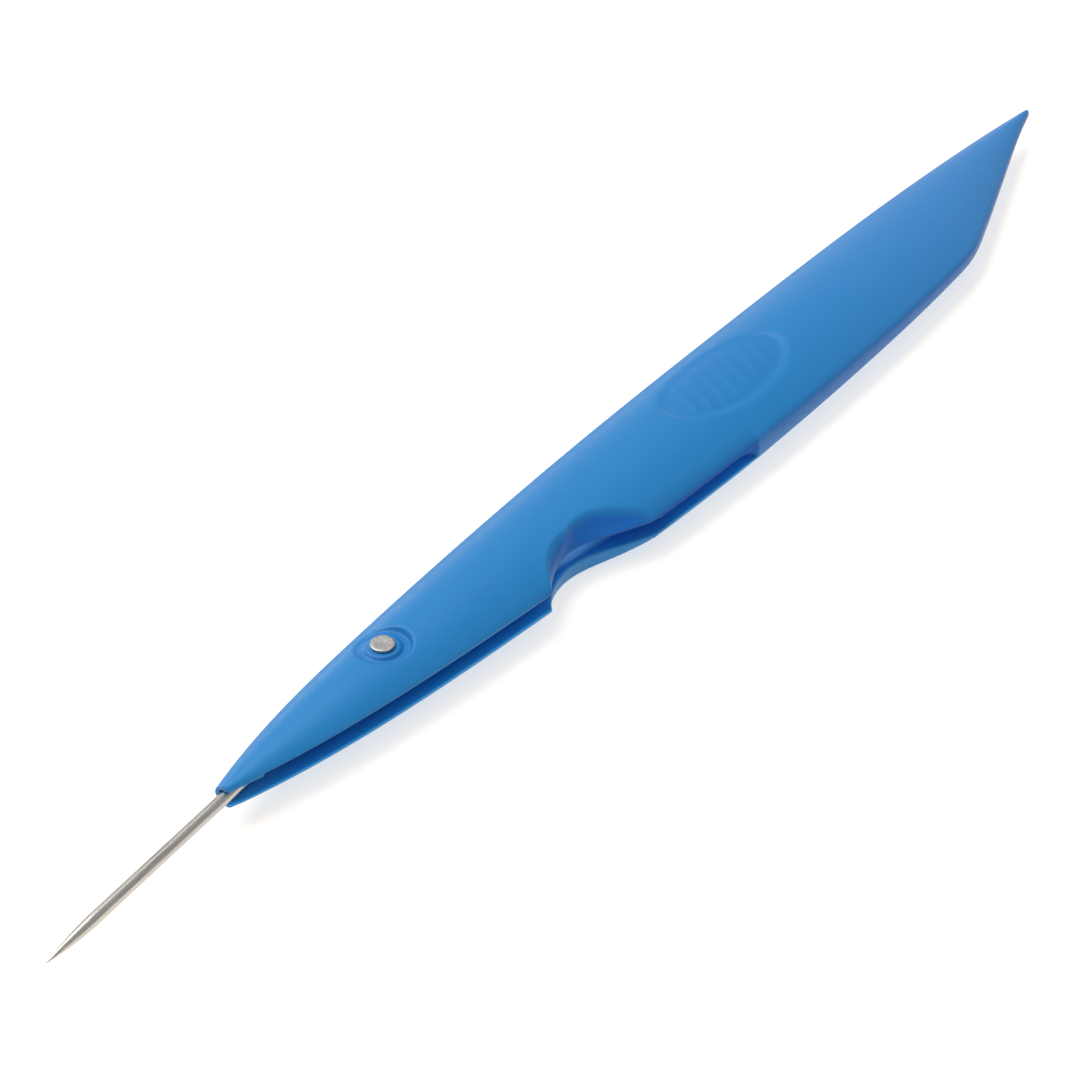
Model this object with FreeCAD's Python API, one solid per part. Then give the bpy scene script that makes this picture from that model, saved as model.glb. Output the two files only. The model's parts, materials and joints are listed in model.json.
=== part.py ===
import FreeCAD, Part
import math
import os

# Folding scratch awl, lying flat on one cheek of its handle with the needle folded out.
# Working frame: the pivot axis is the Z axis, X runs from the needle tip to the tail,
# Y runs from the slotted edge to the spine, and Z = 0 is the mid-plane of the handle.
# The finished solids are moved so that the origin is under the middle of the whole awl.

V = FreeCAD.Vector
UP = V(0, 0, 1)
BEYOND = 40.0
MARGIN = 1.0
TOLERANCE = 1e-6

# needle: hardened wire, bent at its root into an eye round the rivet
WIRE_RADIUS = 0.75
NEEDLE_REACH = 58.65
POINT_LENGTH = 7.4
POINT_FLAT_RADIUS = 0.06
POINT_FULLNESS = 0.7
EYE_TURN = 268.0
FIT_GAP = 0.05
EYE_RADIUS = 1.55

# rivet
RIVET_RADIUS = EYE_RADIUS - WIRE_RADIUS - FIT_GAP
RIVET_HOLE_GAP = 0.02
HEAD_RADIUS = 1.5
HEAD_HEIGHT = 0.42
HEAD_ROUND = 0.24

# handle: plan outline, walked from the nose to the tail
NOSE_X = -28.2
TAIL_X = 158.6
SPINE_LINE = [(-28.2, 3.1), (-16, 4.8), (1, 5.4), (23, 5.25), (51, 4.3), (86, 2.05), (126, -1.4), (158.9, -6.2)]
EDGE_LINE = [(-28.2, 0.6), (-20.4, -2.1), (-4.4, -6.15), (11.6, -9.1), (39.6, -13.3), (63.6, -16.0),
             (87.6, -17.6), (104, -18.2), (112, -18.25), (118, -18.0), (124, -16.65), (140, -12.05), (158.9, -7.0)]

# handle: half thickness along X at the crest of the cheeks, at the spine and at the slotted edge
CREST_LINE = [(-28.2, 1.62), (-14, 2.75), (0, 3.35), (25, 3.8), (65, 4.0), (100, 3.6), (130, 2.35), (158.9, 0.7)]
SPINE_HALF_LINE = [(-28.2, 1.2), (0, 1.35), (60, 1.35), (110, 1.1), (158.9, 0.45)]
EDGE_HALF_LINE = [(-28.2, 1.5), (0, 1.62), (60, 1.65), (100, 1.2), (130, 0.85), (158.9, 0.45)]
SPINE_BULGE = 0.85
EDGE_BULGE = 0.25
SPANS = 30
CORE_SPANS = 6
CORE_MARGIN = 2.0
SIDE_SHARE = 0.4

# slot for the needle, open along the edge of the handle from the nose to its end
SLOT_WIDTH = 2.05
SLOT_END_X = 61.4
SLOT_END_ROUND = 2.0
CLOSED_TURN = 167.8
EYE_CLEARANCE = 0.15
LAND_RADIUS = 2.2
LAND_HEIGHT = 0.2
MOUTH_RADIUS = 1.0
MOUTH_DEPTH = 1.6
REBATE_START_X = -23.9
REBATE_DEPTH = 0.42
REBATE_HEIGHT = 0.3

# thumb scoop: a cut across both lips, nearly as deep as the slot, and a dish that climbs to the crest of the upper
# cheek; each dish section is X, then Y and height of the dish's rim
SCOOP_LINE = [(19.6, -11.5), (21.1, -10.0), (23.4, -8.7), (26, -7.9), (28.5, -7.75), (32, -8.7), (36, -11.0),
              (40, -13.1), (43.2, -14.5)]
DISH_SECTIONS = [(21.6, -10.0, 1.8), (24, -8.5, 2.45), (26.7, -7.4, 3.0), (29.5, -6.7, 3.3), (32, -6.5, 3.45),
                 (34.3, -7.0, 3.5), (36, -8.1, 3.35), (37.8, -9.9, 2.85), (39.3, -11.7, 2.1)]
DISH_FOOT_Z = 1.3
DISH_OVERRUN = 0.2

# round recess with a raised boss round the rivet, in both cheeks
RING_RADIUS = 3.3
RING_FLOOR_Z = 2.55
RING_DEPTH = 0.45
BOSS_RADIUS = 2.2
BOSS_TOP_Z = 2.95

# oval panel in both cheeks: flat in the lower one, curved like the cheek and with raised grip bars in the upper one
PANEL_X = 68.8
PANEL_Y = -5.75
PANEL_HALF_LENGTH = 12.3
PANEL_HALF_WIDTH = 6.3
PANEL_TURN = -5.0
PANEL_FLOOR_Z = 3.55
PANEL_DEPTH = 0.45
BAR_COUNT = 7
BAR_PITCH = 2.7
BAR_WIDTH = 1.2
BAR_HEIGHT = 0.2
BAR_TURN = 60.0
BAR_MARGIN = 1.6


def curve_through(points):
    """Smooth curve in the XY plane through a few outline points."""
    curve = Part.BSplineCurve()
    curve.interpolate([V(x, y, 0) for x, y in points])
    return curve


def height_on(curve, x):
    """Second coordinate of a curve where its first is x."""
    probe = Part.LineSegment(V(x, -BEYOND, 0), V(x, BEYOND, 0))
    return curve.intersect(probe)[0].Y


def handle_section(x, lines, sunk):
    """Closed lens-shaped section of the handle across X, its crest lowered by sunk."""
    spine_y = height_on(lines["spine"], x)
    edge_y = height_on(lines["edge"], x)
    crest = height_on(lines["crest"], x) - sunk
    spine_half = height_on(lines["spine_half"], x) - sunk * SIDE_SHARE
    edge_half = height_on(lines["edge_half"], x) - sunk * SIDE_SHARE
    spine_in = spine_y - SPINE_BULGE * spine_half
    edge_in = edge_y + EDGE_BULGE * edge_half
    if spine_in - edge_in < spine_half:
        spine_in = edge_in + spine_half
    middle = (spine_in + edge_in) / 2
    corners = [V(x, edge_in, edge_half), V(x, spine_in, spine_half),
               V(x, spine_in, -spine_half), V(x, edge_in, -edge_half)]
    bulges = [V(x, middle, crest), V(x, spine_y, 0), V(x, middle, -crest), V(x, edge_y, 0)]
    arcs = []
    for start, bulge, end in zip(corners, bulges, corners[1:] + corners[:1]):
        arcs.append(Part.Arc(start, bulge, end).toShape())
    return Part.Wire(arcs)


def handle_loft(start_x, end_x, spans, sunk=0.0):
    """Solid handle between two places along X, before anything is cut, its crests lowered by sunk."""
    lines = {
        "spine": curve_through(SPINE_LINE),
        "edge": curve_through(EDGE_LINE),
        "crest": curve_through(CREST_LINE),
        "spine_half": curve_through(SPINE_HALF_LINE),
        "edge_half": curve_through(EDGE_HALF_LINE),
    }
    sections = []
    for i in range(spans + 1):
        x = start_x + (end_x - start_x) * i / spans
        sections.append(handle_section(x, lines, sunk))
    return Part.makeLoft(sections, True, False)


def sunk_core(middle_x, half_length, sunk):
    """Stretch of the handle round a recess, its crests lowered by sunk."""
    reach = half_length + CORE_MARGIN
    return handle_loft(middle_x - reach, middle_x + reach, CORE_SPANS, sunk)


def slab(face_points, half_height):
    """Prism of a closed polygon, the same height above and below the mid-plane."""
    low = [V(x, y, -half_height) for x, y in face_points]
    face = Part.Face(Part.makePolygon(low + low[:1]))
    return face.extrude(UP * 2 * half_height)


def closed_line_y(x):
    """Y of the slot's back wall beside the folded needle."""
    slope = math.radians(180 - CLOSED_TURN)
    back = EYE_RADIUS - WIRE_RADIUS - FIT_GAP
    return -x * math.tan(slope) - back / math.cos(slope)


def slot_tool():
    """What is cut away for the needle, its eye and its swing."""
    half = SLOT_WIDTH / 2
    rest_y = EYE_RADIUS + WIRE_RADIUS + FIT_GAP
    start_x = NOSE_X - MARGIN
    front = slab([(start_x, rest_y), (0, rest_y), (0, -BEYOND), (start_x, -BEYOND)], half)
    rear = slab([(0, closed_line_y(0)), (SLOT_END_X, closed_line_y(SLOT_END_X)), (SLOT_END_X, -BEYOND),
                 (0, -BEYOND)], half)
    corner_edges = []
    for edge in rear.Edges:
        middle = edge.valueAt((edge.FirstParameter + edge.LastParameter) / 2)
        upright = edge.tangentAt(edge.FirstParameter).cross(UP).Length < TOLERANCE
        if upright and middle.x > SLOT_END_X - MARGIN and middle.y > MARGIN - BEYOND:
            corner_edges.append(edge)
    rear = rear.makeFillet(SLOT_END_ROUND, corner_edges)
    eye_room = Part.makeCylinder(EYE_RADIUS + WIRE_RADIUS + EYE_CLEARANCE, SLOT_WIDTH, V(0, 0, -half))
    tool = front.fuse([rear, eye_room])
    land = Part.makeCylinder(LAND_RADIUS, LAND_HEIGHT, V(0, 0, half - LAND_HEIGHT))
    return tool.cut([land, land.mirror(V(0, 0, 0), UP)])


def mouth_tool():
    """Flared mouth of the slot where the needle leaves the nose."""
    return Part.makeCone(MOUTH_RADIUS, WIRE_RADIUS, MOUTH_DEPTH, V(NOSE_X, EYE_RADIUS, 0), V(1, 0, 0))


def edge_cut(curve, start, end, height):
    """Prism of everything on the edge's side of a curve, between two of its points, from the mid-plane up."""
    inner = curve.toShape(curve.parameter(start), curve.parameter(end))
    sides = Part.makePolygon([end, V(end.x, -BEYOND, 0), V(start.x, -BEYOND, 0), start]).Edges
    return Part.Face(Part.Wire([inner] + sides)).extrude(UP * height)


def rebate_tool():
    """Shallow rebate along the inner edge of the upper lip, from behind the nose to the slot's end."""
    edge = curve_through(EDGE_LINE)
    edge.translate(V(0, REBATE_DEPTH, 0))
    start = V(REBATE_START_X, height_on(edge, REBATE_START_X), 0)
    end = V(SLOT_END_X, height_on(edge, SLOT_END_X), 0)
    return edge_cut(edge, start, end, SLOT_WIDTH / 2 + REBATE_HEIGHT)


def oval(centre, half_length, half_width, turn, low_z, high_z):
    """Elliptical prism with its long axis turned from X."""
    rim = Part.Ellipse(V(0, 0, 0), half_length, half_width).toShape()
    prism = Part.Face(Part.Wire(rim)).extrude(UP * (high_z - low_z))
    prism.rotate(V(0, 0, 0), UP, turn)
    prism.translate(V(centre[0], centre[1], low_z))
    return prism


def scoop_tools():
    """Cut across both lips, and a dish that climbs from the slot to the crest of the upper cheek."""
    line = curve_through(SCOOP_LINE)
    cut = edge_cut(line, V(*SCOOP_LINE[0], 0), V(*SCOOP_LINE[-1], 0), 2 * BEYOND).translated(V(0, 0, -BEYOND))
    sections = []
    for x, rim_y, rim_z in DISH_SECTIONS:
        lip_y = height_on(line, x)
        over_y = DISH_OVERRUN * (rim_y - lip_y)
        over_z = DISH_OVERRUN * (rim_z - DISH_FOOT_Z)
        corners = [(lip_y - over_y, DISH_FOOT_Z - over_z), (rim_y + over_y, rim_z + over_z),
                   (rim_y + over_y, BEYOND), (-BEYOND, BEYOND), (-BEYOND, DISH_FOOT_Z - over_z)]
        points = [V(x, y, z) for y, z in corners]
        sections.append(Part.makePolygon(points + points[:1]))
    dish = Part.makeLoft(sections, True, True)
    return [cut, dish]


def ring_tool():
    """Round recess round the boss that carries a rivet head, as deep on the spine's side as the cheek is curved."""
    outer = Part.makeCylinder(RING_RADIUS, BEYOND, V(0, 0, RING_FLOOR_Z))
    boss = Part.makeCylinder(BOSS_RADIUS, BOSS_TOP_Z - RING_FLOOR_Z, V(0, 0, RING_FLOOR_Z))
    groove = Part.makeCylinder(RING_RADIUS, BEYOND).cut(Part.makeCylinder(BOSS_RADIUS, BEYOND))
    return outer.cut(boss).fuse(groove.cut(sunk_core(0, RING_RADIUS, RING_DEPTH)))


def panel_tool():
    """Oval recess in the upper cheek, as deep all along as the cheek is curved, with grip bars left standing."""
    recess = oval((PANEL_X, PANEL_Y), PANEL_HALF_LENGTH, PANEL_HALF_WIDTH, PANEL_TURN, 0, BEYOND)
    window = oval((PANEL_X, PANEL_Y), PANEL_HALF_LENGTH - BAR_MARGIN, PANEL_HALF_WIDTH - BAR_MARGIN,
                  PANEL_TURN, 0, BEYOND)
    bars = []
    for i in range(BAR_COUNT):
        along = (i - (BAR_COUNT - 1) / 2) * BAR_PITCH
        bar = Part.makeBox(2 * PANEL_HALF_LENGTH, BAR_WIDTH, BEYOND, V(-PANEL_HALF_LENGTH, -BAR_WIDTH / 2, 0))
        bar.rotate(V(0, 0, 0), UP, BAR_TURN)
        bar.translate(V(PANEL_X + along, PANEL_Y, 0))
        bars.append(bar.common(window))
    floor = sunk_core(PANEL_X, PANEL_HALF_LENGTH, PANEL_DEPTH)
    bar_tops = sunk_core(PANEL_X, PANEL_HALF_LENGTH, PANEL_DEPTH - BAR_HEIGHT)
    return recess.cut(floor).cut([bar.common(bar_tops) for bar in bars])


def handle():
    """One-piece moulded handle."""
    flat_panel = oval((PANEL_X, PANEL_Y), PANEL_HALF_LENGTH, PANEL_HALF_WIDTH, PANEL_TURN, PANEL_FLOOR_Z, BEYOND)
    ring = ring_tool()
    rivet_hole = Part.makeCylinder(RIVET_RADIUS + RIVET_HOLE_GAP, 2 * BEYOND, V(0, 0, -BEYOND))
    tools = [slot_tool(), mouth_tool(), rebate_tool(), rivet_hole, ring, ring.mirror(V(0, 0, 0), UP),
             panel_tool(), flat_panel.mirror(V(0, 0, 0), UP)] + scoop_tools()
    moulding = handle_loft(NOSE_X, TAIL_X, SPANS)
    for tool in tools:
        moulding = moulding.cut(tool)
    return moulding.removeSplitter()


def needle():
    """Straight pointed wire with an eye bent at its root."""
    shank_start = V(0, EYE_RADIUS, 0)
    shank_length = NEEDLE_REACH - POINT_LENGTH
    shank = Part.makeCylinder(WIRE_RADIUS, shank_length, shank_start, V(-1, 0, 0))
    eye = Part.makeTorus(EYE_RADIUS, WIRE_RADIUS, V(0, 0, 0), UP, -180, 180, EYE_TURN)
    eye.rotate(V(0, 0, 0), UP, 90 - EYE_TURN)
    shoulder_x = -shank_length
    axis_y = EYE_RADIUS
    middle_x = shoulder_x - POINT_LENGTH / 2
    middle_radius = POINT_FLAT_RADIUS + POINT_FULLNESS * (WIRE_RADIUS - POINT_FLAT_RADIUS)
    flank = Part.Arc(V(shoulder_x, axis_y + WIRE_RADIUS, 0), V(middle_x, axis_y + middle_radius, 0),
                     V(-NEEDLE_REACH, axis_y + POINT_FLAT_RADIUS, 0)).toShape()
    end = Part.makeLine(V(-NEEDLE_REACH, axis_y + POINT_FLAT_RADIUS, 0), V(-NEEDLE_REACH, axis_y, 0))
    axis = Part.makeLine(V(-NEEDLE_REACH, axis_y, 0), V(shoulder_x, axis_y, 0))
    root = Part.makeLine(V(shoulder_x, axis_y, 0), V(shoulder_x, axis_y + WIRE_RADIUS, 0))
    point = Part.Face(Part.Wire([flank, end, axis, root])).revolve(V(0, axis_y, 0), V(1, 0, 0), 360)
    return shank.fuse([eye, point]).removeSplitter()


def rivet():
    """Solid rivet, headed over at both ends on the bosses."""
    shank = Part.makeCylinder(RIVET_RADIUS, 2 * BOSS_TOP_Z, V(0, 0, -BOSS_TOP_Z))
    head = Part.makeCylinder(HEAD_RADIUS, HEAD_HEIGHT, V(0, 0, BOSS_TOP_Z))
    rim = [edge for edge in head.Edges if edge.BoundBox.ZMin > BOSS_TOP_Z + HEAD_HEIGHT / 2]
    head = head.makeFillet(HEAD_ROUND, rim)
    return shank.fuse([head, head.mirror(V(0, 0, 0), UP)]).removeSplitter()


nodes = {"handle": handle(), "needle": needle(), "pivot_rivet": rivet()}

whole = FreeCAD.BoundBox()
for shape in nodes.values():
    whole.add(shape.optimalBoundingBox(False))
shift = V(-whole.Center.x, -whole.Center.y, -whole.ZMin)

os.makedirs("parts", exist_ok=True)
for name, shape in nodes.items():
    moved = shape.translated(shift)
    moved.exportStep("parts/" + name + ".step")
    box = moved.optimalBoundingBox(False)
    print(name, "valid", moved.isValid(), "solids", len(moved.Solids), "volume", round(moved.Volume, 2),
          "low", [round(v, 3) for v in (box.XMin, box.YMin, box.ZMin)],
          "high", [round(v, 3) for v in (box.XMax, box.YMax, box.ZMax)])
print("pivot axis at", [round(v, 4) for v in shift])
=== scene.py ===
"""Looks of the folding scratch awl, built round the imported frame.

Lengths are in millimetres from the pivot axis and the mid-plane of the handle, as in the part's own source,
and place() takes them to metres in the shared frame. Materials, light and camera are in metres.
"""

import json
import math

import bmesh
import bpy
import numpy as np
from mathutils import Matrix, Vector


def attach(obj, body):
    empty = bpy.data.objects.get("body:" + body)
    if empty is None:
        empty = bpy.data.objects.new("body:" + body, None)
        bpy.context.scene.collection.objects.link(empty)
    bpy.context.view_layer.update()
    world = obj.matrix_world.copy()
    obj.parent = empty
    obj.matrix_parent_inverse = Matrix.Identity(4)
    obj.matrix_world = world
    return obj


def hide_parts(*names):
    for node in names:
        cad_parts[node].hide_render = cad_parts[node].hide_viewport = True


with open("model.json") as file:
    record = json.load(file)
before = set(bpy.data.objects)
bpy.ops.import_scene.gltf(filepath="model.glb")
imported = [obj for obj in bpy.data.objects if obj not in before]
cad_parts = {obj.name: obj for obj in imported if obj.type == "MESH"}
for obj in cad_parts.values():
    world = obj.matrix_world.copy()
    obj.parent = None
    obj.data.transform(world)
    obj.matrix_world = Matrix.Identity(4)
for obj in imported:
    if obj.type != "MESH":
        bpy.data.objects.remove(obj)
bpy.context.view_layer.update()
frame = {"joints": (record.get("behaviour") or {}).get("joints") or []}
PIVOT = np.array(next(j["pos_m"] for j in frame["joints"] if j["name"] == "needle_fold"))
MM = 0.001

# needle: a ground wire with its root bent into an eye, whose end is rounded over in a few steps
WIRE_RADIUS = 0.75
EYE_RADIUS = 1.55
NEEDLE_REACH = 58.65
POINT_LENGTH = 7.4
POINT_FLAT_RADIUS = 0.06
POINT_FULLNESS = 0.7
POINT_CAP_STEP = 0.002
POINT_CAP_SHARE = 0.7
EYE_TURN = 268.0
EYE_END_DRAW = 0.12
EYE_END_TURN = 1.3
EYE_END_STEPS = (1, 2, 3)
POINT_STEPS = 60
SHANK_STEPS = 56
EYE_STEPS = 64
WIRE_SIDES = 48
FIT_GAP = 0.05

# rivet: radius and depth below its top of the points of the head's dished face, and its setting marks
RIVET_RADIUS = 0.75
HEAD_RADIUS = 1.5
HEAD_HEIGHT = 0.42
HEAD_BEVEL = 0.14
HEAD_DISH = [(0.02, 0.03), (0.3, 0.026), (0.6, 0.016), (0.9, 0.005), (1.1, 0)]
HEAD_FOOT_HEIGHT = 0.05
HEAD_FOOT_DRAW = 0.04
HEAD_WAVE = 0.006
HEAD_WAVE_TURN = 0.6
PIN_HALF = 1.0
BEVEL_STEPS = 9
RIVET_SIDES = 96

# handle: plan outline and half thicknesses, from the nose to the tail
NOSE_X = -28.2
TAIL_X = 158.6
SPINE_LINE = [(-28.2, 3.1), (-16, 4.8), (1, 5.4), (23, 5.25), (51, 4.3), (86, 2.05), (126, -1.4),
              (158.9, -6.2)]
EDGE_LINE = [(-28.2, 0.6), (-20.4, -2.1), (-4.4, -6.15), (11.6, -9.1), (39.6, -13.3), (63.6, -16.0),
             (87.6, -17.6), (104, -18.2), (112, -18.25), (118, -18.0), (124, -16.65), (140, -12.05),
             (158.9, -7.0)]
CREST_LINE = [(-28.2, 1.62), (-14, 2.75), (0, 3.35), (25, 3.8), (65, 4.0), (100, 3.6), (130, 2.35),
              (158.9, 0.7)]
SPINE_HALF_LINE = [(-28.2, 1.2), (0, 1.35), (60, 1.35), (110, 1.1), (158.9, 0.45)]
EDGE_HALF_LINE = [(-28.2, 1.5), (0, 1.62), (60, 1.65), (100, 1.2), (130, 0.85), (158.9, 0.45)]
SPINE_BULGE = 0.85
EDGE_BULGE = 0.25

# slot: its back wall and end, the room round the eye, the lands beside it, the mouth round the needle at the
# nose, and the rebate in the upper lip with the slanted step behind its ledge
SLOT_HALF = 1.025
SLOT_END_X = 61.4
SLOT_END_ROUND = 2.0
CLOSED_TURN = 167.8
EYE_ROOM = 2.45
LAND_RADIUS = 2.2
LAND_EDGE = (LAND_RADIUS + 0.1, LAND_RADIUS - 0.1)
LAND_HEIGHT = 0.2
MOUTH_RADIUS = 0.84
MOUTH_DEPTH = 1.6
REBATE_START_X = -23.9
REBATE_DEPTH = 0.42
REBATE_HEIGHT = 0.3
LEDGE_LEAST = 0.25
LEDGE_MOST_SHARE = 0.5
STEP_SLANT = 0.1
STEP_REACH = 1
NO_CUT_Y = -99.0

# scoop: cut across both lips and dish in the upper cheek (X, then Y and height of the dish's rim)
SCOOP_LINE = [(19.6, -11.5), (21.1, -10.0), (23.4, -8.7), (26, -7.9), (28.5, -7.75), (32, -8.7), (36, -11.0),
              (40, -13.1), (43.2, -14.5)]
DISH_SECTIONS = [(21.6, -10.0, 1.8), (24, -8.5, 2.45), (26.7, -7.4, 3.0), (29.5, -6.7, 3.3), (32, -6.5, 3.45),
                 (34.3, -7.0, 3.5), (36, -8.1, 3.35), (37.8, -9.9, 2.85), (39.3, -11.7, 2.1),
                 (40.4, -13.1, 1.5)]
DISH_FOOT_Z = 1.3
DISH_HOLLOW = 1.35
DISH_LEAST_WIDTH = 0.6
DISH_SOFTNESS = 0.3
LOWER_WALL_SLOPE = 7.0
LOWER_WALL_SOFTNESS = 0.6

# ring and boss round the rivet
RING_RADIUS = 3.3
RING_FLOOR_Z = 2.55
RING_DEPTH = 0.36
RING_WALL_SLOPE = 2.2
RING_SOFTNESS = 0.2
BOSS_RADIUS = 2.2
BOSS_EDGE = (BOSS_RADIUS + 0.3, BOSS_RADIUS - 0.15)
BOSS_TOP_Z = 2.95
BOSS_SUNK = 0.02
BOSS_SOFTNESS = 0.05

# oval panel
PANEL_X = 68.8
PANEL_Y = -5.75
PANEL_HALF_LENGTH = 12.3
PANEL_HALF_WIDTH = 6.3
PANEL_TURN = math.radians(-5)
PANEL_FLOOR_Z = 3.55
PANEL_DEPTH = 0.36
SIDE_SHARE = 0.4
PANEL_WALL = (-0.2, 1.4)
LOWER_PANEL_SOFTNESS = 0.12
BAR_COUNT = 7
BAR_PITCH = 2.7
BAR_WIDTH = 1.2
BAR_FLANK = (BAR_WIDTH / 2 + 0.35, BAR_WIDTH / 2 - 0.55)
BAR_HEIGHT = 0.08
BAR_TURN = math.radians(60)
BAR_END = (1.6, 2.4)
PANEL_MIDDLE_SHARE = 0.2

# how far past the ring's or the panel's rim a cheek is still shaped, and the least values divided by
REACH_MARGIN = 1
LEAST_DIVISOR = 0.01
LEAST_LENGTH = 1e-9

# lips: the upper one is rolled over from an unrolled lip that stands LIP_RISE higher
LIP_SLOPE = 1.15
LIP_RISE = 0.8
LIP_FACE = 0.08
ROLL_LEAST_SOFTNESS = 0.05
ROLL_SOFTNESS = 0.9
ROLL_START_X = -20
ROLL_FULL_X = 40
CLOSED_FACE_SHARE = 0.3
CLOSED_FACE_STEPS = (1, 0.62, 0.52, 0.42, 0.2, 0)
NOSE_NARROWING = 0.2

# grid of the handle's skin: spans of each stretch of half a section, and the stations along X as start, end
# and step
SPANS = (9, 84, 8, 3, 3, 10, 5)
CHEEK_END = sum(SPANS[:2])
LIP_END = sum(SPANS[:3])
INNER_END = sum(SPANS[:6])
DRAWN_END = LIP_END - 2
DRAWN_FADE_SPANS = 4
STATION_STEPS = [(-27.95, -26.2, 0.25), (-26.2, -24.3, 0.45), (-24.3, -23.5, 0.08), (-23.5, -5, 0.9),
                 (-5, -3.9, 0.35), (-3.9, 3.9, 0.15), (3.9, 5, 0.35), (5, 19.5, 0.9), (19.5, 20.6, 0.35),
                 (20.6, 24.2, 0.12), (24.2, 42, 0.4), (42, 54.5, 1.0), (54.5, 59.2, 0.27), (59.2, 61.9, 0.12),
                 (61.9, 83, 0.27), (83, 104, 1.4), (104, 126, 1.0), (126, 157, 1.6)]
TAIL_STATIONS = [157, 157.6]
END_STEPS = 5
NOSE_ROUND = 0.15
TAIL_ROUND = 0.7
TAIL_HALF = 0.76

# points on each span of an outline curve, and on each stretch of half a section before it is rounded
CURVE_POINTS = 160
SPINE_POINTS = 60
CHEEK_POINTS = 700
CLOSED_FACE_POINTS = 30
LIP_FACE_POINTS = 80
INNER_POINTS = 120

# rounding of a section's corners: spreads of the blur, and how much of the softer one each stretch takes
FINE_STEP = 0.02
BLUR_REACH = 4
CORNER_SPREAD = 0.07
SOFT_SPREAD = 0.33
SPINE_SOFT_REACH = (2.7, 1.2)
LIP_SOFT_REACH = 0.6
UPPER_LIP_SOFTNESS = 0.5
LOWER_LIP_SOFTNESS = 0.9
MOUTH_SOFTNESS = 0.8

# painted shade and painted light on the plastic, 0 to 1, and the depths, widths or spans over which they come
# in
# painted shade in the dish, the oval panel and the ring
DISH_SHADE_DEPTH = 0.9
DISH_SHADE_MARGIN = 2
PANEL_SHADE = 0.1
PANEL_SHADE_DEPTH = 0.4
PANEL_SHADE_MARGIN = 0.4
PANEL_SHADE_REACH = PANEL_HALF_LENGTH + 0.5
RING_SHADE = 0.25
RING_SHADE_DEPTH = 0.35
RING_SHADE_REACH = RING_RADIUS + 0.3
# painted shade on the rolled upper lip
ROLLED_LIP_SHADE = 0.9
ROLLED_LIP_SHADE_WIDTH = 0.8
# painted shade in a thin line along the upper lip's edge
LIP_LINE_SHADE = 0.85
LIP_LINE_SPANS = 4
# painted shade on the narrow edge behind the slot
EDGE_SHADE = 0.6
EDGE_SHADE_SPANS = (-5, 5)
# painted light inside the slot
SLOT_LIGHT_SPANS = 5
# painted light on the lower lip's inner face
LIT_LIP_TONE = 0.85
LIT_LIP_WIDTH = 1.3
LIT_FALL = 1.5
LIT_SPANS = (CHEEK_END + 5, INNER_END)
LIT_FRONT_WIDTH = 2.0
LIT_SCOOP_LOSS = 0.75
LIT_FRONT_GAIN = 0.6
LIT_REAR_LOSS = 0.25

# stretches along X over which something comes in, from where it is 0 to where it is 1
SCOOP_START = (20, 21.5)
SCOOP_END = (41, 39.5)
NOSE_NARROWING_START = (NOSE_X + 2, NOSE_X + 0.2)
REBATE_START = (REBATE_START_X - 0.125, REBATE_START_X + 0.125)
SLOT_CLOSING = (SLOT_END_X - 0.35, SLOT_END_X + 0.15)
MOUTH_SOFTENING = (NOSE_X + 1.9, NOSE_X + 0.7)
LIP_SOFTENING = (-20, -5)
CLOSED_SOFTENING = (SLOT_END_X, SLOT_END_X + 6)
TAIL_SHARPENING = (132, 152)
ROLLED_LIP_SHADE_START = (16, 42)
LIP_LINE_START = (16, 24)
EDGE_SHADE_START = (SLOT_END_X - 0.75, SLOT_END_X + 0.75)
SLOT_TONE_END = (SLOT_END_X, SLOT_END_X - 0.5)
LIT_LIP_END = (SLOT_END_X, SLOT_END_X - 3)
LIT_SCOOP_START = (19, 21)
LIT_SCOOP_END = (45, 42)
LIT_FRONT_END = (31, 25)
LIT_REAR_START = (28, 34)

# colours, finishes and grain: each pair holds the two ends of what a noise texture varies between
PLASTIC_COLOURS = ((0.007, 0.184, 0.475), (0.009, 0.198, 0.500))
# painted reflection: the plastic greyer towards the tail, over the stretch of X below
PLASTIC_TAIL_REFLECTION_COLOUR = (0.032, 0.200, 0.498)
PLASTIC_TAILWARD = (0.02, 0.085)
# painted colours mixed in by the attributes: painted shade in the recesses, on the rolled lip and on the edge
# (hollow), painted shade along the upper lip's edge (lip), painted light inside the slot (slot) and on the
# lower lip's inner face (lit_lip)
PAINTED_SHADE_AND_LIGHT_COLOURS = (("hollow", (0.0, 0.11, 0.44)), ("lip", (0.0, 0.055, 0.27)), ("slot", (0.025, 0.215, 0.62)),
                ("lit_lip", (0.02, 0.38, 0.94)))
PLASTIC_ROUGHNESS = (0.40, 0.50)
PLASTIC_SPECULAR = 0.35
NEEDLE_COLOURS = ((0.45, 0.435, 0.41), (0.61, 0.59, 0.56))
NEEDLE_ROUGHNESS = (0.27, 0.40)
RIVET_COLOURS = ((0.40, 0.388, 0.378), (0.56, 0.548, 0.535))
RIVET_ROUGHNESS = (0.3, 0.5)
PAPER_COLOUR = (0.68, 0.58, 0.49)
PAPER_GLOW = 0.62
PAPER_ROUGHNESS = 0.9
PAPER_SPECULAR = 0.1
NOISE_RANGE = (0.3, 0.7)

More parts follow.
